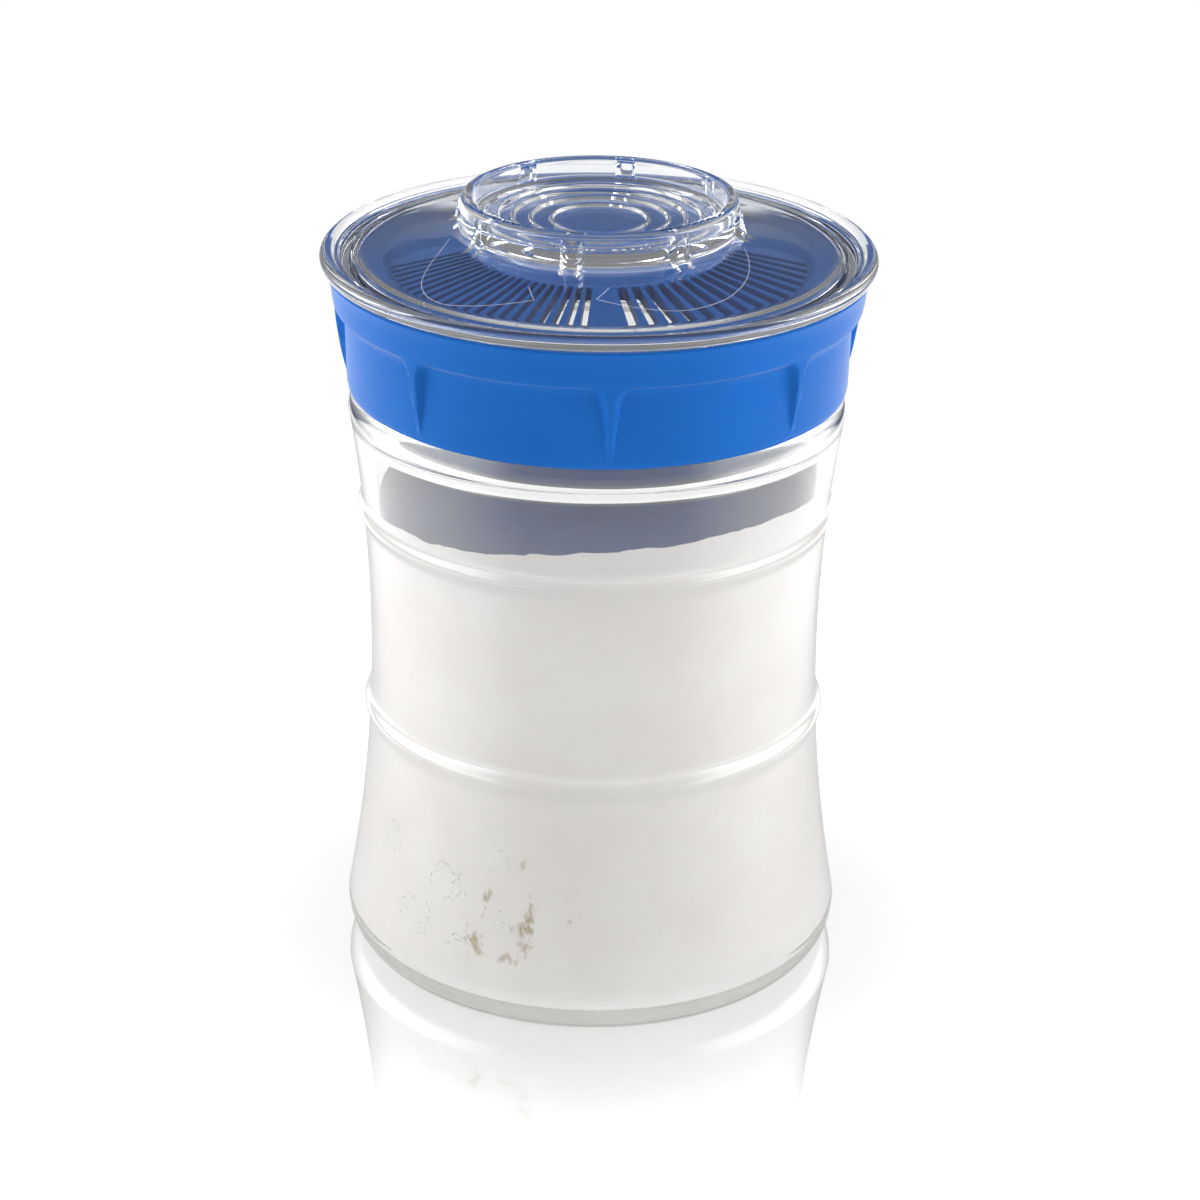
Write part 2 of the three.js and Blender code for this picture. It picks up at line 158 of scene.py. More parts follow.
# Clear upper lid
UPPER_SKIRT_WALL = 1.8
UPPER_SKIRT_PLAY = 0.5
UPPER_SEAL_PLAY = 0.3
SEAL_COLUMNS = 180
LIP_LIFT = 0.3
LIP_HEIGHT = 3.2
PLATE_LIFT = 1.9
PLATE_THICKNESS = 2.2
PLATE_HOLLOW = 0.3
PLATE_EDGE = 2.0  # width of the steps between skirt and plate
RING_RADIUS = 28.2
RING_WALL = 2.5
RING_ROUND = 1.2
RING_FOOT_DROP = 0.9
RING_FOOT_ROUND = 0.8
DISH_DEPTH = 5.6
DISH_STEP = 0.25
DISH_STEP_RADII = [23.6, 20.8, 17.6, 14.0, 9.8]
DISH_RIDGE = 0.55
GRIPS = 8
GRIP_WIDTH = 3.6
GRIP_REACH = 0.9
GRIP_FOOT = 0.9  # extra reach where a grip stands on the plate
GRIP_TURN = -14.0
RING_TOP = high("upper_lid")
UPPER_LIP_RADIUS = reach("upper_lid")
UPPER_BOTTOM = low("upper_lid")
RING_INNER = RING_RADIUS - RING_WALL
DISH_FLOOR = RING_TOP - DISH_DEPTH
LIP_UNDER = LID_TOP + LIP_LIFT

# Turn mark: (angle, radius) stops of its two lines, and which of them are corners
MARK_WIDTH = 0.15
MARK_CREST = 0.4  # share of the width that is left on top
MARK_LEFT = [(-78, 31), (-69, 35), (-55, 44), (-45, 47), (-36, 45.5), (-21, 40), (-23, 38), (-25, 36)]
MARK_RIGHT = [
    (0.5, 34.5), (-3.6, 38.3), (8, 41.5), (19, 43.6), (31, 42.6), (41, 40), (50, 37), (58, 34), (66, 31),
]
MARK_LINES = [(MARK_LEFT, (5, 6)), (MARK_RIGHT, (1,))]

# Kefir
KEFIR_LEVEL = high("kefir") - 1.4  # still surface, below the film's edge
FILM_LEAD = 6.6  # highest reach of the film over the level
FILM_TURN = 60.0  # where the film reaches highest
FROTH = 0.35
WET = 0.05  # the kefir reaches this far into the glass, so no air shows between them
FILL_COLUMNS = 288
GRAINS = [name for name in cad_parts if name.startswith("kefir_grain")]

# Materials
TONE_PLACES = (0.3, 0.7)  # levels of noise at which a material has its dark and its pale tone
WHEY_CENTRE = (-0.0191, -0.0429, 0.026)
WHEY_REACH = 0.03
WHEY_COLOUR = (0.42, 0.36, 0.245)
# Painted shade: bluish-grey tint on the kefir's still surface, for the lid's shadow and its blue bounce light
LID_SHADE_CENTRE = (0.0, -0.012, 0.103)
LID_SHADE_REACH = 0.05
LID_SHADE_COLOUR = (0.34, 0.4, 0.64)
PATCH_CORE = 0.35  # share of a patch's radius over which it is at its full strength
TRAPPED = 2.5  # light reflected more often than this inside a clear piece leaves it straight

# Camera, solved from the photograph's ellipses
CAMERA_TURN = -2.9
CAMERA_DISTANCE = 640.5
CAMERA_HEIGHT = 361.4
CAMERA_PITCH = 24.03
CAMERA_ROLL = 0.77
CAMERA_LENS = 98.66
CAMERA_SENSOR = 36.0
CAMERA_SHIFT = 0.0046

# Lamps: name, place, size and power
LAMPS = [
    ("left_softbox", (-0.68, 0.05, 0.25), (0.95, 0.55), 8.2),
    ("right_softbox", (0.62, -0.14, 0.25), (0.95, 0.55), 6.3),
    ("front_card", (0.0, -0.9, 0.1), (1.0, 0.2), 2.2),
    ("top_softbox", (0.0, 0.1, 0.95), (0.6, 0.6), 3.8),
]
LAMP_AIM = (0.0, 0.0, 0.08)

# Room: levels, and parts of the room as directions with the values between which they fade in
ROOM_FILL = 0.26  # level of the room's soft light
ROOM_FRONT = 0.8  # level of the darker front of the room, in reflections
ROOM_BACK = 0.07  # level of the dark part of the room behind, in reflections
ROOM_INNER = 0.2  # the same for light that is reflected inside clear pieces
ROOM_SIDE = 6.0  # level of the soft glow at each side of the room, in reflections
FRONT_FADE = (-0.8, 0.1)
BACK_PART = [("Y", (0.1, 0.4)), ("aside", (0.7, 0.4)), ("Z", (-0.05, 0.02)), ("Z", (0.94, 0.8))]
SIDE_PART = [("aside", (0.6, 0.92)), ("Z", (-0.02, 0.14)), ("Z", (0.75, 0.4))]

# Floor: levels, and the distances between which they fade in
FLOOR_SIZE = 6.0
FLOOR_FRONT = 0.35  # level of the floor before the jar, in reflections
FLOOR_BACK = 0.6  # level of the floor behind the jar, in reflections
FLOOR_SIDE = 2.0  # level of the floor below the side lamps, in reflections
FLOOR_FAR = 0.3  # level of the distant floor, in reflections
FLOOR_INNER = 0.95  # level of the floor for light that is reflected inside clear pieces
FLOOR_BOUNCE = 1.5  # level of the floor as it lights the jar
FLOOR_MIRROR = 0.72  # strength of the floor's mirror image at the foot
FLOOR_GLOW = 0.9  # lifts the floor to white for the camera and leaves its shadow
BACK_FADE = (-0.1, 0.05)
SIDE_FADE = (0.1, 0.22)
FAR_FADE = (0.4, 0.8)
MIRROR_FADE = (0.12, 0.05)
WHITE_FADE = (0.07, 0.35)


def wall_radius(height):
    """Outside radius of the glass wall at a height, without its beads."""
    return WAIST_RADIUS + WALL_ARC - np.sqrt(WALL_ARC**2 - (height - WAIST_HEIGHT) ** 2)


NECK_RADIUS = wall_radius(SHOULDER_HEIGHT) - SHOULDER_LEDGE
MOUTH_RADIUS = NECK_RADIUS - GLASS_WALL
BORE = NECK_RADIUS + THREAD_SPACE
POCKET = BORE - POCKET_STEP
CHANNEL_INNER = POCKET + CHANNEL_WALL
CHANNEL_OUTER = CHANNEL_INNER + CHANNEL_WIDTH
CHANNEL_BOTTOM = LID_TOP - CHANNEL_DEPTH
CHANNEL_UNDER = CHANNEL_BOTTOM - CHANNEL_FLOOR
BAND_BOTTOM = LID_TOP - BAND_HEIGHT
BAND_RADIUS = LID_RADIUS - BAND_FLARE
SKIRT_RADIUS = BORE + SKIRT_WALL
DOME_RADIUS = MOUTH_RADIUS + DOME_MARGIN
FIELD_OUTER = DOME_RADIUS - FIELD_MARGIN
SLOT_OUTER = FIELD_OUTER - SLOT_MARGIN
SLOT_INNER = SLOT_OUTER - SLOT_LENGTH
FIELD_INNER = SLOT_INNER - SLOT_MARGIN
UPPER_SKIRT = CHANNEL_OUTER - UPPER_SKIRT_PLAY
UPPER_INNER = UPPER_SKIRT - UPPER_SKIRT_WALL
PLATE_OUTER = UPPER_INNER - PLATE_EDGE


def smoothstep(start, end, value):
    share = np.clip((value - start) / (end - start), 0.0, 1.0)
    return share * share * (3.0 - 2.0 * share)


def hollow_radius(height):
    """Inside radius of the glass at a height: drawn in to the mouth behind the shoulder."""
    wall = wall_radius(np.minimum(height, SHOULDER_HEIGHT)) - GLASS_WALL
    return wall + (MOUTH_RADIUS - wall) * smoothstep(MOUTH_CURVE_BOTTOM, MOUTH_CURVE_TOP, height)


GLASS_FLOOR_EDGE = GLASS_FLOOR + GLASS_FLOOR_ROUND
GLASS_FLOOR_RADIUS = hollow_radius(GLASS_FLOOR_EDGE) - GLASS_FLOOR_ROUND


def rounded(corners, steps=6):
    """Points of an open outline of (radius, height[, fillet]) corners, with each fillet as an arc."""
    spots = [np.array(corner[:2], float) for corner in corners]
    points = [spots[0]]
    for index in range(1, len(corners) - 1):
        fillet = corners[index][2] if len(corners[index]) > 2 else 0.0
        here = spots[index]
        back = spots[index - 1] - here
        ahead = spots[index + 1] - here
        room = FILLET_SHARE * min(np.linalg.norm(back), np.linalg.norm(ahead))
        back /= np.linalg.norm(back)
        ahead /= np.linalg.norm(ahead)
        half = math.acos(np.clip(back @ ahead, -1.0, 1.0)) / 2
        if fillet == 0.0 or half > STRAIGHT:
            points.append(here)
            continue
        run = min(fillet / math.tan(half), room)
        radius = run * math.tan(half)
        centre = here + (back + ahead) / np.linalg.norm(back + ahead) * radius / math.sin(half)
        first, last = here + back * run - centre, here + ahead * run - centre
        sweep = math.pi - 2 * half
        for step in range(steps + 1):
            share = step / steps
            blend = first * math.sin((1 - share) * sweep) + last * math.sin(share * sweep)
            points.append(centre + blend / math.sin(sweep))
    points.append(spots[-1])
    return [(point[0], point[1]) for point in points]


def arc(centre_radius, centre_height, across, up, start, end, steps):
    """Points of an elliptical arc in an outline, between two angles."""
    turns = np.radians(np.linspace(start, end, steps + 1))
    return [(centre_radius + across * math.cos(t), centre_height + up * math.sin(t)) for t in turns]


def even_angles(count):
    """Columns at even angles."""
    return np.arange(0.0, 360.0, 360.0 / count)


def rib_angles(count, turn, step, columns, span=6.0):
    """Columns that are close together on each of some ribs, and fewer and wider apart between them."""
    pitch = 360.0 / count
    near = np.arange(-span, span, step)
    far = np.linspace(span, pitch - span, columns, endpoint=False)
    return np.concatenate([turn + rib * pitch + np.concatenate([near, far]) for rib in range(count)])


def off_rib(angles, count, turn, radius):
    """Distance along a circle from the middle of the nearest rib, at each column."""
    pitch = 360.0 / count
    return np.abs(np.radians((angles - turn + pitch / 2) % pitch - pitch / 2)) * radius


def thread(angles, height, lead, starts, offset=0.0):
    """Share of a right-hand thread's depth at a place: 1 on a crest, 0 between turns."""
    pitch = lead / starts
    turn = height / pitch - starts * angles / 360.0 + offset
    away = np.abs(turn - np.round(turn)) * pitch
    return 1.0 - smoothstep(THREAD_CREST, THREAD_FLANK, away)


def fade(height, bottom, top):
    """1 between two heights, running out to 0 just inside them."""
    return smoothstep(bottom, bottom + THREAD_FADE, height) * (1 - smoothstep(top - THREAD_FADE, top, height))


def places(rows, angles):
    """Grid of points for rows of (radius, height), each a number or one number for each angle."""
    turn = np.radians(angles)
    grid = []
    for radius, height in rows:
        radius = radius * np.ones_like(turn)
        grid.append(np.stack([radius * np.sin(turn), -radius * np.cos(turn), height * np.ones_like(turn)], 1))
    return np.array(grid)


def grid_faces(rows, columns, loop):
    """Quads of a grid that closes round its columns, and round its rows too if loop is set."""
    faces = []
    for row in range(rows if loop else rows - 1):
        here = row * columns
        above = (row + 1) % rows * columns
        for column in range(columns):
            beside = (column + 1) % columns
            faces.append((here + column, here + beside, above + beside, above + column))
    return faces


def new_object(name, data):
    """Object of the scene for a mesh, a lamp or a camera."""
    piece = bpy.data.objects.new(name, data)
    bpy.context.scene.collection.objects.link(piece)
    return piece


def mesh_object(name, points, faces, crease=40.0, mend=False):
    """Smooth-shaded object from points in millimetres; coinciding points, as at the axis, become one."""
    mesh = bpy.data.meshes.new(name)
    build = bmesh.new()
    corners = [build.verts.new(point) for point in np.asarray(points).reshape(-1, 3) * MM]
    for face in faces:
        build.faces.new([corners[index] for index in face])
    bmesh.ops.remove_doubles(build, verts=build.verts, dist=1e-6)
    bmesh.ops.dissolve_degenerate(build, edges=build.edges, dist=1e-7)
    if mend:
        bmesh.ops.recalc_face_normals(build, faces=build.faces)
    build.to_mesh(mesh)
    build.free()
    mesh.shade_smooth()
    mesh.set_sharp_from_angle(angle=math.radians(crease))
    return new_object(name, mesh)


def revolved(name, rows, angles, loop=False, crease=40.0):
    """Object of revolution from rows of (radius, height)."""
    points = places(rows, angles)
    return mesh_object(name, points, grid_faces(len(rows), len(angles), loop), crease)


def fit(piece, body, slot, material, *nodes):
    """Gives a piece its body and material, and lets it stand for nodes of the frame; the slot is not used."""
    piece.data.materials.append(material)
    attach(piece, body)
    if nodes:
        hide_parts(*nodes)


# Materials


class Graph:
    """Node tree with short ways to add to it; a value is a constant or an output of another node."""

    def __init__(self, tree):
        self.nodes = tree.nodes
        self.links = tree.links

    def feed(self, node, values):
        """Sets inputs of a node, by name or number."""
        for key, value in values.items():
            if isinstance(value, bpy.types.NodeSocket):
                self.links.new(value, node.inputs[key])
            else:
                node.inputs[key].default_value = value

    def add(self, kind, values, **settings):
        """New node of a kind, with its settings and the values of its inputs."""
        node = self.nodes.new(kind)
        for name, setting in settings.items():
            setattr(node, name, setting)
        self.feed(node, values)
        return node

    def rays(self):
        """Facts about the ray that meets a surface."""
        return self.add("ShaderNodeLightPath", {}).outputs

    def place(self):
        """Place in the object's own metres."""
        return self.add("ShaderNodeTexCoord", {}).outputs["Object"]

    def axes(self, vector):
        """The three parts of a vector."""
        return self.add("ShaderNodeSeparateXYZ", {"Vector": vector}).outputs

    def math(self, operation, *values, clamp=False):
        """Result of an operation on values."""
        node = self.add("ShaderNodeMath", dict(enumerate(values)), operation=operation, use_clamp=clamp)
        return node.outputs["Value"]

    def spread(self, source, start, end, bottom=0.0, top=1.0, kind="LINEAR"):
        """Value that goes from bottom to top, and no further, while a source goes from start to end."""
        values = {"Value": source, "From Min": start, "From Max": end, "To Min": bottom, "To Max": top}
        return self.add("ShaderNodeMapRange", values, interpolation_type=kind).outputs["Result"]

    def between(self, source, edges, bottom=0.0, top=1.0):
        """The same with a smooth start and end."""
        return self.spread(source, *edges, bottom, top, "SMOOTHSTEP")

    def blend(self, share, plain, chosen, kind="FLOAT"):
        """Value or colour that goes from plain to chosen with a share."""
        values = {"Factor": share, "A": plain, "B": chosen}
        return self.add("ShaderNodeMix", values, data_type=kind).outputs["Result"]

    def blend_shader(self, share, plain, chosen):
        """Shader that goes from plain to chosen with a share."""
        return self.add("ShaderNodeMixShader", {"Fac": share, 1: plain, 2: chosen}).outputs["Shader"]

    def noise(self, scale, detail, roughness, stretch=(1.0, 1.0, 1.0)):
        """Noise in the object's own metres, stretched along its axes."""
        place = self.add("ShaderNodeMapping", {"Vector": self.place(), "Scale": stretch}).outputs["Vector"]
        values = {"Vector": place, "Scale": scale, "Detail": detail, "Roughness": roughness}
        return self.add("ShaderNodeTexNoise", values).outputs["Fac"]

    def bump(self, height, strength, distance):
        """Normal of a surface that a height makes uneven."""
        values = {"Height": height, "Strength": strength, "Distance": distance}
        return self.add("ShaderNodeBump", values).outputs["Normal"]

    def tones(self, source, dark, pale):
        """Colour that drifts between two tones with a source."""
        node = self.add("ShaderNodeValToRGB", {"Fac": source})
        for element, place, colour in zip(node.color_ramp.elements, TONE_PLACES, (dark, pale)):
            element.position = place
            element.color = (*colour, 1.0)
        return node.outputs["Color"]

    def patch(self, centre, radius):
        """1 in the core of a round patch in the object's own metres, 0 past its radius."""
        away = self.add("ShaderNodeVectorMath", {0: self.place(), 1: centre}, operation="DISTANCE")
        return self.between(away.outputs["Value"], (radius, radius * PATCH_CORE))


def new_material(name):
    """Node material with its graph, its Principled shader and its output."""
    material = bpy.data.materials.new(name)
    material.use_nodes = True
    graph = Graph(material.node_tree)
    return material, graph, graph.nodes["Principled BSDF"], graph.nodes["Material Output"]


def clear_material(name, tint, ior, clarity, roughness, wave_scale, wave, absorb, density, shade):
    """Clear solid that lets light through to what it holds, with moulded waviness, smears and a tint."""
    material, graph, shader, output = new_material(name)
    smears = graph.noise(scale=60.0, detail=4.0, roughness=0.6)
    waves = graph.noise(scale=wave_scale, detail=1.5, roughness=0.4, stretch=(1.0, 1.0, 0.45))
    graph.feed(shader, {
        "Base Color": (*tint, 1.0),
        "Transmission Weight": clarity,
        "IOR": ior,
        "Roughness": graph.spread(smears, 0.45, 0.75, roughness, roughness * 2.5),
        "Normal": graph.bump(waves, strength=wave, distance=0.001),
    })
    rays = graph.rays()
    trapped = graph.math("GREATER_THAN", rays["Glossy Depth"], TRAPPED)
    straight = graph.add("ShaderNodeBsdfTransparent", {})
    freed = graph.blend_shader(trapped, shader.outputs["BSDF"], straight.outputs["BSDF"])
    through = graph.add("ShaderNodeBsdfTransparent", {"Color": (shade, shade, shade, 1.0)})
    surface = graph.blend_shader(rays["Is Shadow Ray"], freed, through.outputs["BSDF"])
    depth = graph.add("ShaderNodeVolumeAbsorption", {"Color": (*absorb, 1.0), "Density": density})
    graph.feed(output, {"Surface": surface, "Volume": depth.outputs["Volume"]})
    return material


def blue_material():
    """Satin moulded plastic: fine spark-eroded grain, with a slight drift in colour and gloss."""
    material, graph, shader, _ = new_material("blue_plastic")
    drift = graph.noise(scale=35.0, detail=3.0, roughness=0.55)
    grain = graph.noise(scale=4200.0, detail=2.0, roughness=0.5)
    graph.feed(shader, {
        "Base Color": graph.tones(drift, (0.002, 0.08, 0.318), (0.004, 0.093, 0.36)),
        "Roughness": graph.spread(drift, 0.0, 1.0, 0.4, 0.5),
        "Specular IOR Level": 0.12,
        "Sheen Weight": 0.3,
        "Sheen Roughness": 0.25,
        "Subsurface Weight": 0.14,
        "Subsurface Radius": (0.0005, 0.0015, 0.005),
        "Normal": graph.bump(grain, strength=0.12, distance=0.0001),
    })
    return material


def etched_material():
    """Clear plastic roughened along a fine line, so it catches the light."""
    material, graph, shader, _ = new_material("clear_plastic_etched")
    grain = graph.noise(scale=1500.0, detail=2.0, roughness=0.5)
    graph.feed(shader, {
        "Base Color": graph.tones(grain, (0.62, 0.68, 0.8), (0.78, 0.82, 0.9)),
        "Roughness": 0.3,
        "Alpha": 0.35,
    })
    return material


def silicone_material():
    """Milky food-grade rubber with a powdery surface."""
    material, graph, shader, _ = new_material("silicone")
    drift = graph.noise(scale=180.0, detail=3.0, roughness=0.5)
    grain = graph.noise(scale=2500.0, detail=2.0, roughness=0.5)
    graph.feed(shader, {
        "Base Color": graph.tones(drift, (0.7, 0.72, 0.73), (0.8, 0.81, 0.81)),
        "Roughness": 0.55,
        "Subsurface Weight": 0.2,
        "Subsurface Radius": (0.002, 0.002, 0.002),
        "Normal": graph.bump(grain, strength=0.1, distance=0.0001),
    })
    return material


def whey_and_painted_shade(graph, plain):
    """Kefir colour with whey cracks where the culture gathers, and painted shade of the lid on the still
    surface.
    """
    gaps = graph.noise(scale=150.0, detail=6.0, roughness=0.66, stretch=(1.0, 1.0, 0.6))
    cracks = graph.math("MULTIPLY", gaps, graph.patch(WHEY_CENTRE, WHEY_REACH))
    cracked = graph.blend(graph.spread(cracks, 0.54, 0.62), plain, (*WHEY_COLOUR, 1.0), "RGBA")
    normal = graph.add("ShaderNodeNewGeometry", {}).outputs["Normal"]
    # painted shade: upward faces near the middle are tinted bluish-grey, as if shaded by the blue lid
    lid_shade = graph.math("MULTIPLY", graph.axes(normal)["Z"], graph.patch(LID_SHADE_CENTRE, LID_SHADE_REACH), clamp=True)
    return graph.blend(lid_shade, cracked, (*LID_SHADE_COLOUR, 1.0), "RGBA")


def kefir_material(name, dark, pale):
    """Thick white kefir: a soft drift in tone, fine curd bumps, whey between the culture's lumps, painted lid
    shade on top.
    """
    material, graph, shader, _ = new_material(name)
    drift = graph.noise(scale=55.0, detail=5.0, roughness=0.6)
    curd = graph.noise(scale=420.0, detail=4.0, roughness=0.6)
    graph.feed(shader, {
        "Base Color": whey_and_painted_shade(graph, graph.tones(drift, dark, pale)),
        "Roughness": 0.35,
        "Normal": graph.bump(curd, strength=0.25, distance=0.0004),
    })
    return material


GLASS = clear_material(
    "glass", tint=(0.985, 0.99, 0.985), ior=1.5, clarity=0.985, roughness=0.012, wave_scale=45.0, wave=0.05,
    absorb=(0.86, 0.875, 0.85), density=16.0, shade=0.485,
)
CLEAR = clear_material(
    "clear_plastic", tint=(0.985, 0.987, 0.992), ior=1.49, clarity=0.995, roughness=0.015, wave_scale=60.0,
    wave=0.03, absorb=(0.86, 0.9, 0.97), density=5.0, shade=0.85,
)
ETCHED = etched_material()
BLUE = blue_material()
SILICONE = silicone_material()
KEFIR = kefir_material("kefir", (0.74, 0.715, 0.705), (0.795, 0.775, 0.765))
GRAIN = kefir_material("kefir_grain", (0.72, 0.7, 0.67), (0.81, 0.795, 0.77))


# Glass jar

JAR_ANGLES = even_angles(JAR_COLUMNS)


def outside_radius(height):
    """Outside radius of the glass wall with its two beads."""
    radius = wall_radius(height)
    for middle, rise, half in BEADS:
        if abs(height - middle) < half:
            radius += rise * math.cos((height - middle) / half * math.pi / 2) ** 3.5
    return radius


def neck_rows():
    """Rows up the neck with its screw thread."""
    rows = []
    for height in np.arange(SHOULDER_TOP + 1.0, RIM - RIM_ROUND - 0.2, NECK_STEP):
        depth = THREAD_DEPTH * fade(height, SHOULDER_TOP + 3.0, RIM - 2.0)
        rows.append((NECK_RADIUS + depth * thread(JAR_ANGLES, height, NECK_LEAD, NECK_STARTS), height))
    return rows


def glass_jar():
    """The jar, from the middle of its underside up the outside, over the rim and down the inside."""
    foot = wall_radius(HEEL_HEIGHT) - FOOT_INSET
    foot_inner = foot - FOOT_WIDTH
    ledge = wall_radius(SHOULDER_HEIGHT) - SHOULDER_ROUND
    top = RIM - RIM_ROUND
    rows = rounded([
        (0.0, FOOT_RECESS),
        (foot_inner - FOOT_RECESS, FOOT_RECESS, 1.5),
        (foot_inner, 0.0, 0.6),
        (foot, 0.0),
    ])
    rows += arc(foot, HEEL_HEIGHT, FOOT_INSET, HEEL_HEIGHT, -90.0, 0.0, 18)[1:]
    rows += [(outside_radius(z), z) for z in np.arange(HEEL_HEIGHT + WALL_STEP, SHOULDER_HEIGHT, WALL_STEP)]
    rows += arc(ledge, SHOULDER_HEIGHT, SHOULDER_ROUND, SHOULDER_ROUND, 0.0, 85.0, 10)
    rows += rounded([
        (ledge, SHOULDER_TOP),
        (NECK_RADIUS, SHOULDER_TOP, 0.9),
        (NECK_RADIUS, SHOULDER_TOP + 2.2),
    ])[:-1]
    rows += neck_rows()
    rows += arc(NECK_RADIUS - RIM_ROUND, top, RIM_ROUND, RIM_ROUND, 0.0, 90.0, 8)
    rows += arc(MOUTH_RADIUS + RIM_ROUND, top, RIM_ROUND, RIM_ROUND, 90.0, 180.0, 8)
    inside = np.concatenate([
        np.arange(top - 1.0, MOUTH_CURVE_TOP, -1.0),
        np.arange(MOUTH_CURVE_TOP, MOUTH_CURVE_BOTTOM, -0.2),
        np.arange(MOUTH_CURVE_BOTTOM, GLASS_FLOOR_EDGE, -1.0),
    ])
    rows += [(hollow_radius(z), z) for z in inside]
    rows += arc(GLASS_FLOOR_RADIUS, GLASS_FLOOR_EDGE, GLASS_FLOOR_ROUND, GLASS_FLOOR_ROUND, 0.0, -90.0, 14)
    rows.append((0.0, GLASS_FLOOR))
    fit(revolved("jar_glass", rows, JAR_ANGLES), "jar", "glass", GLASS, "glass_jar")


# Kefir

FILL_ANGLES = even_angles(FILL_COLUMNS)


def film_height(angles):
    """Reach of the kefir's film up the glass, above its level: higher where the jar was last tilted."""
    turn = np.radians(angles)
    swing = smoothstep(-1.0, 1.0, np.cos(turn - math.radians(FILM_TURN))) ** 1.5
    rough = [noise.fractal(Vector((3.2 * math.cos(t), 3.2 * math.sin(t), 0.7)), 0.6, 2.0, 5) for t in turn]
    return FILM_LEAD * np.clip(swing * 0.95 + 0.12 * np.array(rough), 0.04, 1.2)


def froth(radius, angles):
    """Small unevenness of the kefir's upper face."""
    turn = np.radians(angles)
    spots = zip(radius * np.sin(turn), -radius * np.cos(turn))
    return FROTH * np.array([noise.fractal(Vector((x * 0.11, y * 0.11, 2.0)), 0.7, 2.1, 5) for x, y in spots])


def kefir_fill():
    """The fill: up the glass to the film's edge, and down behind the film to the still surface."""
    turn = GLASS_FLOOR_ROUND + WET
    rows = [(0.0, GLASS_FLOOR - WET)]
    rows += arc(GLASS_FLOOR_RADIUS, GLASS_FLOOR_EDGE, turn, turn, -90.0, 0.0, 14)
    rows += [(hollow_radius(z) + WET, z) for z in np.arange(GLASS_FLOOR_EDGE + 1.0, KEFIR_LEVEL - 1.0, 1.0)]
    film = film_height(FILL_ANGLES)
    wet = [(share, -WET) for share in (0.0, 0.35, 0.7, 0.9, 1.0)]
    for share, inset in wet + [(0.97, 0.12), (0.6, 0.3), (0.2, 0.6), (0.05, 1.3)]:
        height = KEFIR_LEVEL + film * share
        rows.append((hollow_radius(height) - inset, height))
    edge = hollow_radius(KEFIR_LEVEL) - 2.4
    for radius in np.linspace(edge, 1.0, 26):
        rows.append((radius, KEFIR_LEVEL - 0.2 + froth(radius, FILL_ANGLES) * smoothstep(0.0, 6.0, radius)))
    rows.append((0.0, KEFIR_LEVEL - 0.2))
    fit(revolved("kefir_fill", rows, FILL_ANGLES, crease=80.0), "jar", "kefir", KEFIR, "kefir")


def kefir_grain(node):
    """Cauliflower lump of culture, pressed flat where it meets the glass."""
    lowest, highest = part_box(node)
    middle = (lowest + highest) / 2 / MM
    half = (highest - lowest) / 2 / MM
    ball = bmesh.new()
    bmesh.ops.create_icosphere(ball, subdivisions=5, radius=1.0)
    for corner in ball.verts:
        knobs = noise.fractal(corner.co * 2.3 + middle, 0.8, 2.2, 5)
        spot = middle + Vector(a * b for a, b in zip(corner.co, half)) * (1.0 + 0.3 * knobs)
        limit = float(hollow_radius(spot.z)) + WET + 0.02
        away = math.hypot(spot.x, spot.y)
        if away > limit:
            spot.x *= limit / away
            spot.y *= limit / away
        corner.co = spot * MM
    mesh = bpy.data.meshes.new(node)
    ball.to_mesh(mesh)
    ball.free()
    mesh.shade_smooth()
    piece = new_object(node.replace("kefir_grain", "culture_lump"), mesh)
    fit(piece, "jar", "kefir_grain", GRAIN, node)


# Rubber rings


def seal_ring(name, node, body, inner):
    """Rubber ring with rounded edges and a raised bead round the middle of each face."""
    bottom, top, outer = low(node), high(node), reach(node)
    middle = (inner + outer) / 2
    bead = min(0.25, (top - bottom) / 6)
    inset = (outer - inner) * 0.18
    corners = [
        (middle, bottom),
        (middle + inset, bottom, 0.3),
        (middle + inset + bead, bottom + bead, 0.3),
        (outer, bottom + bead, 0.35),
        (outer, top - bead, 0.35),
        (middle + inset + bead, top - bead, 0.3),
        (middle + inset, top, 0.3),
        (middle - inset, top, 0.3),
        (middle - inset - bead, top - bead, 0.3),
        (inner, top - bead, 0.35),
        (inner, bottom + bead, 0.35),
        (middle - inset - bead, bottom + bead, 0.3),
        (middle - inset, bottom, 0.3),
        (middle, bottom),
    ]
    rows = rounded(corners, 4)[:-1]
    fit(revolved(name, rows, even_angles(SEAL_COLUMNS), True), body, "silicone", SILICONE, node)


# Strainer lid: skirt, ribs, channel

SKIRT_ANGLES = rib_angles(RIBS, turn=0.0, step=0.4, columns=22)


def skirt_outside(height):
    """Radius of the skirt over its ribs: straight to the band, then a hollow flare to the top edge."""
    if height <= BAND_BOTTOM:
        share = (height - SKIRT_BOTTOM) / (BAND_BOTTOM - SKIRT_BOTTOM)
        return SKIRT_RADIUS + (BAND_RADIUS - SKIRT_RADIUS) * share
    share = (height - BAND_BOTTOM) / BAND_HEIGHT
    return BAND_RADIUS + BAND_FLARE * share - BAND_DRAFT * 4 * share * share * (1 - share)


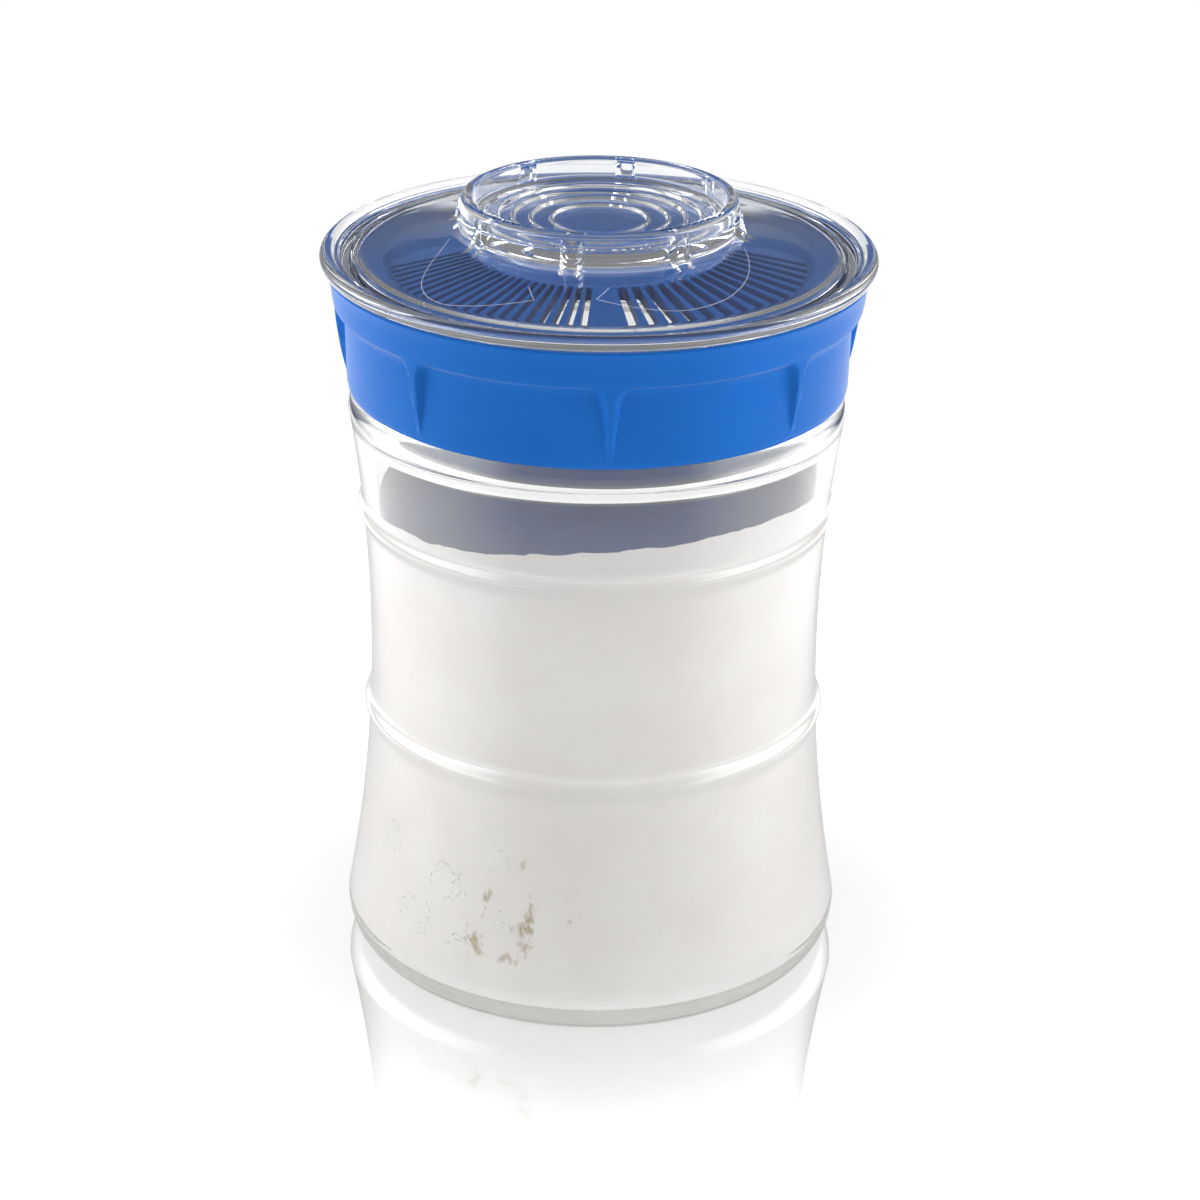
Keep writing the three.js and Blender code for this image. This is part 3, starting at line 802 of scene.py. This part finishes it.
def ribbed_radius(height):
    """Radius of the skirt at each column: panels sunk between ribs that spread into the band."""
    envelope = skirt_outside(height)
    foot = SKIRT_BOTTOM + PANEL_MARGIN
    if height <= foot - 0.4:
        return envelope * np.ones_like(SKIRT_ANGLES)
    climb = (height - foot) / (BAND_BOTTOM - foot)
    panel = skirt_outside(foot) + PANEL_LEAN * climb
    ledge = np.clip((height - BAND_BOTTOM + LEDGE) / LEDGE, 0.0, 1.0)
    panel += (envelope - panel) * ledge**2
    flare = max((climb - RIB_FLARE_START) / (1.0 - RIB_FLARE_START), 0.0)
    half = RIB_HALF + RIB_SPREAD * max(climb, 0.0) + RIB_FLARE * flare**2
    rib = 1.0 - smoothstep(0.35 * half, half, off_rib(SKIRT_ANGLES, RIBS, 0.0, SKIRT_RADIUS))
    crest = envelope + RIB_CROWN * math.sin(math.pi * min(max(climb, 0.0), 1.0))
    return panel + (crest - panel) * rib


def strainer_skirt_rows():
    """Closed outline of the skirt, the top rim and the channel, as rows."""
    rows = rounded([
        (BORE, SKIRT_BOTTOM + 0.5),
        (BORE, SKIRT_BOTTOM, 0.4),
        (SKIRT_RADIUS, SKIRT_BOTTOM, 0.55),
        (SKIRT_RADIUS + 0.1, SKIRT_BOTTOM + 0.9),
    ])[:-1]
    foot = SKIRT_BOTTOM + PANEL_MARGIN
    heights = np.concatenate([
        np.linspace(SKIRT_BOTTOM + 1.0, foot + 0.8, 8, endpoint=False),
        np.linspace(foot + 0.8, BAND_BOTTOM - LEDGE, 18, endpoint=False),
        np.linspace(BAND_BOTTOM - LEDGE, BAND_BOTTOM + 0.6, 16, endpoint=False),
        np.linspace(BAND_BOTTOM + 0.6, LID_TOP - 0.9, 12),
    ])
    rows += [(ribbed_radius(height), height) for height in heights]
    rows += rounded([
        (skirt_outside(LID_TOP - 0.8), LID_TOP - 0.8),
        (LID_RADIUS, LID_TOP, 0.5),
        (CHANNEL_OUTER, LID_TOP, 0.4),
        (CHANNEL_OUTER, LID_TOP - 1.2),
    ])
    for height in np.arange(LID_TOP - 1.5, CHANNEL_BOTTOM + 0.8, -CAP_STEP):
        depth = CAP_THREAD_DEPTH * fade(height, CHANNEL_BOTTOM, LID_TOP - 0.5)
        rows.append((CHANNEL_OUTER - depth * thread(SKIRT_ANGLES, height, CAP_LEAD, CAP_STARTS, 0.5), height))
    wall_top = DECK_TOP + 0.15
    rows += rounded([
        (CHANNEL_OUTER, CHANNEL_BOTTOM + 0.7),
        (CHANNEL_OUTER, CHANNEL_BOTTOM, 0.4),
        (CHANNEL_INNER, CHANNEL_BOTTOM, 0.4),
        (CHANNEL_INNER, wall_top, 0.45),
        (POCKET, wall_top, 0.45),
        (POCKET, CHANNEL_UNDER, 0.3),
        (BORE, CHANNEL_UNDER, 0.3),
        (BORE, CHANNEL_UNDER - 0.9),
    ])
    for height in np.arange(CHANNEL_UNDER - 1.0, SKIRT_BOTTOM + 0.8, -NECK_STEP):
        depth = THREAD_DEPTH * fade(height, SKIRT_BOTTOM + 0.6, CHANNEL_UNDER - 0.6)
        rows.append((BORE - depth * thread(SKIRT_ANGLES, height, NECK_LEAD, NECK_STARTS, 0.5), height))
    return rows


# Strainer lid: slotted dome


def slot_columns():
    """Columns of the dome as (angle, half slot width); a slot's two edges follow each other."""
    columns = []
    taken = []
    for side, count, first, pitch, width in SLOT_SETS:
        middles = [side * (first + pitch * index) for index in range(count)]
        taken += middles
        for middle in middles:
            columns += [(middle, -width / 2), (middle, width / 2)]
    taken.sort()
    for near, far in zip(taken, taken[1:] + [taken[0] + 360.0]):
        plain = max(1, round((far - near) / DOME_PITCH) - 1)
        columns += [(near + (far - near) * (i + 1) / (plain + 1), 0.0) for i in range(plain)]
    return sorted(columns)


def dome_profile(radius, corners):
    """Height of a rounded outline at a radius."""
    outline = np.array(rounded(corners, 8))
    return np.interp(radius, outline[:, 0], outline[:, 1])


def field_share(radius, angles):
    """1 in the sunken strainer field, 0 outside: a crescent round the front with rounded ends."""
    middle, half = (FIELD_INNER + FIELD_OUTER) / 2, (FIELD_OUTER - FIELD_INNER) / 2
    angles = np.abs((angles + 180.0) % 360.0 - 180.0)
    end = np.maximum(0.0, angles - (FIELD_HALF_ANGLE - FIELD_END_ANGLE)) / FIELD_END_ANGLE
    return 1.0 - smoothstep(0.92, 1.04, np.hypot((radius - middle) / half, end))


def dome_stations():
    """Radii of the dome's rows: close together at the field's edges and at the slots' ends."""
    ends = SLOT_END * (1.0 - np.cos(np.radians([0.0, 25.0, 50.0, 70.0, 90.0])))
    return np.concatenate([
        [0.0, 5.0, 10.0, 14.0, 17.0, 18.5, 19.5, 20.5, 21.5, 22.5, 23.2],
        np.linspace(FIELD_INNER - 0.5, SLOT_INNER - 0.15, 6),
        SLOT_INNER + ends,
        np.linspace(SLOT_INNER + SLOT_END, SLOT_OUTER - SLOT_END, 9)[1:-1],
        SLOT_OUTER - ends[::-1],
        np.linspace(SLOT_OUTER + 0.15, FIELD_OUTER + 0.6, 6),
        [44.9, 45.6, 46.6, 47.8, CHANNEL_INNER - CHANNEL_WALL / 2],
    ])


def strainer_dome():
    """Points and faces of the dome with its sunken field and slots right through it."""
    columns = slot_columns()
    middles = np.array([column[0] for column in columns])
    halves = np.array([column[1] for column in columns])
    stations = dome_stations()
    plug = MOUTH_RADIUS - PLUG_GAP
    top_outline = [
        (0.0, PLATEAU_TOP),
        (PLATEAU_RADIUS, PLATEAU_TOP, DOME_ROUND),
        (DOME_RADIUS, DECK_TOP, DOME_FOOT_ROUND),
        (LID_RADIUS, DECK_TOP),
    ]
    under_outline = [
        (0.0, PLATEAU_TOP - PLATEAU_WALL),
        (PLATEAU_RADIUS, PLATEAU_TOP - DOME_WALL, DOME_ROUND),
        (plug, DECK_UNDER - PLUG_DEPTH),
        (plug + 0.3, DECK_UNDER),
        (LID_RADIUS, DECK_UNDER),
    ]
    upper, lower = [], []
    for radius in stations:
        past = max(SLOT_INNER + SLOT_END - radius, radius - (SLOT_OUTER - SLOT_END), 0.0) / SLOT_END
        open_share = math.sqrt(max(1.0 - past * past, 0.0))
        turn = middles + np.degrees(halves * open_share / max(radius, 1.0))
        top = dome_profile(radius, top_outline) - FIELD_DEPTH * field_share(radius, turn)
        upper.append(places([(radius, top)], turn)[0])
        lower.append(places([(radius, dome_profile(radius, under_outline))], turn)[0])
    points = np.array(lower + upper[::-1])
    rows, width = len(stations), len(columns)
    inside = (stations[:-1] >= SLOT_INNER - 1e-6) & (stations[1:] <= SLOT_OUTER + 1e-6)
    slots = [index for index in range(width) if halves[index] < 0.0]
    holes = {(row, column) for row in np.flatnonzero(inside) for column in slots}
    holes |= {(2 * rows - 2 - row, column) for row, column in holes}
    faces = [face for index, face in enumerate(grid_faces(2 * rows, width, False))
             if (index // width, index % width) not in holes]
    for row in np.flatnonzero(inside):
        for column in slots:
            for edge in (column, (column + 1) % width):
                near, far = row * width + edge, (row + 1) * width + edge
                over, beyond = (2 * rows - 1 - row) * width + edge, (2 * rows - 2 - row) * width + edge
                faces.append((near, far, beyond, over))
    return points.reshape(-1, 3), faces


def strainer_lid():
    """The whole blue lid: skirt and dome, joined inside the wall of the channel."""
    rows = strainer_skirt_rows()
    skirt = places(rows, SKIRT_ANGLES).reshape(-1, 3)
    faces = grid_faces(len(rows), len(SKIRT_ANGLES), True)
    dome, dome_faces = strainer_dome()
    faces += [tuple(index + len(skirt) for index in face) for face in dome_faces]
    piece = mesh_object("strainer_lid_body", np.concatenate([skirt, dome]), faces, 35.0, True)
    fit(piece, "strainer_lid", "blue_plastic", BLUE, "strainer_lid")


# Clear upper lid

CAP_ANGLES = rib_angles(GRIPS, GRIP_TURN, step=0.75, columns=20)


def grip_share():
    """1 on a grip's edges and half on its face, 0 between grips, at each column."""
    away = off_rib(CAP_ANGLES, GRIPS, GRIP_TURN, RING_RADIUS + GRIP_REACH)
    plain = 1.0 - smoothstep(GRIP_WIDTH / 2 - 0.1, GRIP_WIDTH / 2 + 0.6, away)
    edge = 1.0 - smoothstep(0.1, 0.8, np.abs(away - GRIP_WIDTH / 2 + 0.3))
    return np.maximum(0.5 * plain, edge)


def plate_top(radius):
    """Upper face of the clear plate between skirt and ring: a cone that sags a little."""
    share = (UPPER_INNER - radius) / (UPPER_INNER - RING_RADIUS)
    edge = LIP_UNDER + PLATE_LIFT
    rise = DISH_FLOOR - RING_FOOT_DROP - edge
    return edge + rise * share - PLATE_HOLLOW * 4 * share * (1 - share)


def plate_under(radius):
    """Lower face of the clear plate."""
    return plate_top(radius) - PLATE_THICKNESS


def under_rows():
    """Rows under the clear lid, from its middle to the skirt, round the skirt's edge and up its thread."""
    under = DISH_FLOOR - PLATE_THICKNESS
    start, end = RING_RADIUS + 1.5, UPPER_INNER - 1.3
    rows = rounded([
        (0.0, under),
        (RING_INNER - 0.4, under, 3.0),
        (start, plate_under(start)),
    ])
    rows += [(radius, plate_under(radius)) for radius in np.linspace(start + 1.0, end - 0.1, 16)]
    rows += rounded([
        (end, plate_under(end)),
        (UPPER_INNER, plate_under(UPPER_INNER), 0.8),
        (UPPER_INNER, UPPER_BOTTOM, 0.5),
        (UPPER_SKIRT, UPPER_BOTTOM, 0.5),
        (UPPER_SKIRT, UPPER_BOTTOM + 0.9),
    ])
    for height in np.arange(UPPER_BOTTOM + 1.0, LIP_UNDER - 0.7, CAP_STEP):
        depth = CAP_THREAD_DEPTH * fade(height, UPPER_BOTTOM, LIP_UNDER + 0.4)
        rows.append((UPPER_SKIRT + depth * thread(CAP_ANGLES, height, CAP_LEAD, CAP_STARTS), height))
    return rows


def lip_rows():
    """Rows round the clear lid's thick lip and down its steps to the plate."""
    half = LIP_HEIGHT / 2
    centre = UPPER_LIP_RADIUS - half
    top = LIP_UNDER + LIP_HEIGHT
    edge = plate_top(UPPER_INNER)
    rows = rounded([(UPPER_SKIRT, LIP_UNDER - 0.6), (UPPER_SKIRT, LIP_UNDER, 0.35), (centre, LIP_UNDER)])[:-1]
    rows += arc(centre, LIP_UNDER + half, half, half, -90.0, 90.0, 16)
    rows += rounded([
        (centre - 0.2, top),
        (centre - 0.9, top - 0.1, 0.4),
        (centre - 1.5, top - 0.8, 0.3),
        (centre - 2.2, top - 0.75, 0.3),
        (centre - 2.5, top - 1.1, 0.2),
        (centre - 3.3, top - 1.05, 0.3),
        (UPPER_INNER + 0.2, edge + 0.35, 0.25),
        (UPPER_INNER - 0.2, edge, 0.25),
        (UPPER_INNER - 0.9, edge + 0.05, 0.3),
        (UPPER_INNER - 1.2, edge - 0.2, 0.2),
        (PLATE_OUTER, plate_top(PLATE_OUTER)),
    ])
    return rows


def ring_rows():
    """Rows across the plate and up the outside of the ring, over its grips, to its top."""
    grip = grip_share()
    foot = RING_RADIUS + grip * (GRIP_REACH + GRIP_FOOT)
    rows = []
    for share in np.linspace(0.06, 0.97, 22):
        radius = PLATE_OUTER + (foot + 0.9 - PLATE_OUTER) * share
        rows.append((radius, plate_top(radius)))
    base = plate_top(foot)
    for turn in np.linspace(0.0, math.pi / 2, 6):
        out, up = 1 - math.sin(turn), 1 - math.cos(turn)
        rows.append((foot + RING_FOOT_ROUND * out, base + RING_FOOT_ROUND * up))
    bottom = base + RING_FOOT_ROUND
    top = RING_TOP - RING_ROUND
    for share in np.linspace(0.12, 1.0, 9):
        taper = 1.0 - smoothstep(0.86, 1.0, share)
        extra = GRIP_REACH * taper + GRIP_FOOT * (1.0 - share) ** 3
        rows.append((RING_RADIUS + grip * extra, bottom + (top - bottom) * share))
    return rows + arc(RING_RADIUS - RING_ROUND, top, RING_ROUND, RING_ROUND, 0.0, 90.0, 8)[1:]


def dish_rows():
    """Rows down into the dish and over its ridged steps to the middle."""
    top = DISH_FLOOR + DISH_STEP * len(DISH_STEP_RADII)
    rows = rounded([
        (RING_INNER + 1.3, RING_TOP),
        (RING_INNER, RING_TOP, 1.1),
        (RING_INNER, top, 0.9),
        (DISH_STEP_RADII[0] + 0.4, top),
    ])[1:]
    for index, radius in enumerate(DISH_STEP_RADII):
        height = top - DISH_STEP * index
        crest = height + DISH_RIDGE
        ridge = [
            (radius + 0.75, height),
            (radius + 0.5, height, 0.15),
            (radius + 0.2, crest, 0.3),
            (radius - 0.2, crest, 0.3),
            (radius - 0.5, height - DISH_STEP, 0.15),
            (radius - 0.75, height - DISH_STEP),
        ]
        rows += rounded(ridge, 4)
    rows.append((0.0, DISH_FLOOR))
    return rows


def upper_lid():
    """The whole clear lid, from the middle of its underside round to the middle of its dish."""
    rows = under_rows() + lip_rows() + ring_rows() + dish_rows()
    piece = revolved("upper_lid_body", rows, CAP_ANGLES, crease=30.0)
    fit(piece, "upper_lid", "clear_plastic", CLEAR, "upper_lid")


def smooth_path(stops, corners):
    """Points of a curve through (angle, radius) stops, straight where both ends of a stretch are corners."""
    stops = np.array(stops, float)
    points = []
    for index in range(len(stops) - 1):
        here, ahead = stops[index], stops[index + 1]
        step = ahead - here
        lead = here - stops[index - 1] if index > 0 and index not in corners else step
        trail = stops[index + 2] - ahead if index + 2 < len(stops) and index + 1 not in corners else step
        for share in np.arange(0.0, 1.0, 0.125):
            bend = (lead - step) * (1 - share) - (trail - step) * share
            points.append(here + step * share + bend * share * (1 - share) / 2)
    points.append(stops[-1])
    return points


def turn_mark():
    """Hairline outline of a bent arrow on the clear plate, open where it runs in under the ring."""
    points, faces = [], []
    lift = np.array((0.0, 0.0, MARK_WIDTH * 0.3))
    for stops, corners in MARK_LINES:
        path = smooth_path(stops, corners)
        spots = [places([(radius, plate_top(radius))], np.array([angle]))[0][0] for angle, radius in path]
        first = len(points)
        for index, spot in enumerate(spots):
            along = spots[min(index + 1, len(spots) - 1)] - spots[max(index - 1, 0)]
            across = np.cross(along, (0.0, 0.0, 1.0))
            across = across / np.linalg.norm(across) * MARK_WIDTH / 2
            crest = across * MARK_CREST
            points += [spot - across - lift, spot + across - lift, spot + crest + lift, spot - crest + lift]
        for index in range(len(spots) - 1):
            near, far = first + index * 4, first + index * 4 + 4
            faces += [(near + k, near + (k + 1) % 4, far + (k + 1) % 4, far + k) for k in range(4)]
        faces += [(first, first + 1, first + 2, first + 3), tuple(len(points) - 1 - k for k in range(4))]
    piece = mesh_object("upper_lid_turn_mark", np.array(points), faces, 60.0, True)
    fit(piece, "upper_lid", "clear_plastic", ETCHED)


# Stage: floor, light, camera


def bounced(graph, rays, kind):
    """1 for a ray that has met a surface of a kind on its way here, as in "Glossy Depth"."""
    return graph.math("GREATER_THAN", rays[kind], 0.5)


def floor():
    """Pale glossy floor: its mirror image fades out away from the jar, and it runs out into plain white."""
    bpy.ops.mesh.primitive_plane_add(size=FLOOR_SIZE)
    plane = bpy.context.object
    plane.name = "floor"
    material, graph, shader, output = new_material("floor")
    graph.feed(shader, {"Base Color": (0.3, 0.3, 0.3, 1.0), "Roughness": 0.6, "Specular IOR Level": 0.1})
    rays = graph.rays()
    place = graph.place()
    axes = graph.axes(place)
    away = graph.add("ShaderNodeVectorMath", {0: place}, operation="LENGTH").outputs["Value"]
    beside = graph.math("ABSOLUTE", axes["X"])
    seen = graph.math("MULTIPLY", rays["Is Camera Ray"], FLOOR_GLOW)
    glow = graph.add("ShaderNodeEmission", {"Strength": seen})
    lit = graph.add("ShaderNodeAddShader", {0: shader.outputs["BSDF"], 1: glow.outputs["Emission"]})
    mirror = graph.add("ShaderNodeBsdfGlossy", {"Roughness": 0.0})
    strength = graph.math("MULTIPLY", graph.between(away, MIRROR_FADE), FLOOR_MIRROR)
    gloss = graph.blend_shader(strength, lit.outputs["Shader"], mirror.outputs["BSDF"])
    level = graph.blend(graph.between(axes["Y"], BACK_FADE), FLOOR_FRONT, FLOOR_BACK)
    level = graph.blend(graph.between(beside, SIDE_FADE), level, FLOOR_SIDE)
    level = graph.blend(graph.between(away, FAR_FADE), level, FLOOR_FAR)
    level = graph.blend(bounced(graph, rays, "Transmission Depth"), level, FLOOR_INNER)
    level = graph.blend(bounced(graph, rays, "Glossy Depth"), 1.0, level)
    level = graph.blend(bounced(graph, rays, "Diffuse Depth"), level, FLOOR_BOUNCE)
    white = graph.add("ShaderNodeEmission", {"Strength": level})
    plain = graph.spread(away, *WHITE_FADE)
    for kind in ("Is Transmission Ray", "Is Glossy Ray", "Is Diffuse Ray"):
        plain = graph.math("MAXIMUM", plain, rays[kind])
    graph.feed(output, {"Surface": graph.blend_shader(plain, gloss, white.outputs["Emission"])})
    plane.data.materials.append(material)


def softbox(name, place, size, power):
    """Rectangular lamp aimed at the jar, which doesn't show in reflections or through glass."""
    lamp = bpy.data.lights.new(name, "AREA")
    lamp.shape = "RECTANGLE"
    lamp.size, lamp.size_y = size
    lamp.energy = power
    lamp.cycles.use_multiple_importance_sampling = False
    piece = new_object(name, lamp)
    piece.location = place
    aim = Vector(LAMP_AIM) - Vector(place)
    piece.rotation_euler = aim.to_track_quat("-Z", "Y").to_euler()
    piece.visible_transmission = False
    piece.visible_glossy = False


def part_share(graph, sources, part):
    """1 inside a part of the room, 0 outside it, with soft edges."""
    share = 1.0
    for source, edges in part:
        share = graph.math("MULTIPLY", share, graph.between(sources[source], edges))
    return share


def room():
    """Softly lit white room; in reflections it has a dark back, and a glow at each side for the lamps."""
    world = bpy.data.worlds.new("room")
    bpy.context.scene.world = world
    world.use_nodes = True
    graph = Graph(world.node_tree)
    rays = graph.rays()
    axes = graph.axes(graph.add("ShaderNodeTexCoord", {}).outputs["Generated"])
    sources = {"Y": axes["Y"], "Z": axes["Z"], "aside": graph.math("ABSOLUTE", axes["X"])}
    back = part_share(graph, sources, BACK_PART)
    front = graph.between(axes["Y"], FRONT_FADE, ROOM_FRONT, 1.0)
    inner = graph.blend(back, 1.0, ROOM_INNER)
    level = graph.blend(back, front, ROOM_BACK)
    level = graph.blend(bounced(graph, rays, "Transmission Depth"), level, inner)
    level = graph.blend(part_share(graph, sources, SIDE_PART), level, ROOM_SIDE)
    level = graph.blend(bounced(graph, rays, "Glossy Depth"), 1.0, level)
    level = graph.blend(rays["Is Singular Ray"], level, 1.0)
    level = graph.blend(bounced(graph, rays, "Diffuse Depth"), level, ROOM_FILL)
    graph.feed(graph.nodes["Background"], {"Color": (1.0, 1.0, 1.0, 1.0), "Strength": level})


def camera():
    """Camera at the photograph's place, height and tilt."""
    data = bpy.data.cameras.new("camera")
    data.lens = CAMERA_LENS
    data.sensor_width = CAMERA_SENSOR
    data.shift_x = CAMERA_SHIFT
    piece = new_object("camera", data)
    turn = math.radians(CAMERA_TURN)
    tilt = Matrix.Rotation(math.radians(90.0 - CAMERA_PITCH), 4, "X")
    roll = Matrix.Rotation(math.radians(CAMERA_ROLL), 4, "Z")
    back = Vector((math.sin(turn), -math.cos(turn), 0.0)) * CAMERA_DISTANCE
    place = back + Vector((0.0, 0.0, CAMERA_HEIGHT))
    piece.matrix_world = Matrix.Translation(place * MM) @ Matrix.Rotation(turn, 4, "Z") @ tilt @ roll
    bpy.context.scene.camera = piece


glass_jar()
kefir_fill()
for node in GRAINS:
    kefir_grain(node)
seal_ring("jar_seal_ring", "jar_seal", "jar_seal", MOUTH_RADIUS)
strainer_lid()
seal_ring("upper_seal_ring", "upper_seal", "upper_seal", CHANNEL_INNER + UPPER_SEAL_PLAY)
upper_lid()
turn_mark()
floor()
for lamp in LAMPS:
    softbox(*lamp)
room()
camera()
bpy.context.scene.view_settings.view_transform = "Standard"
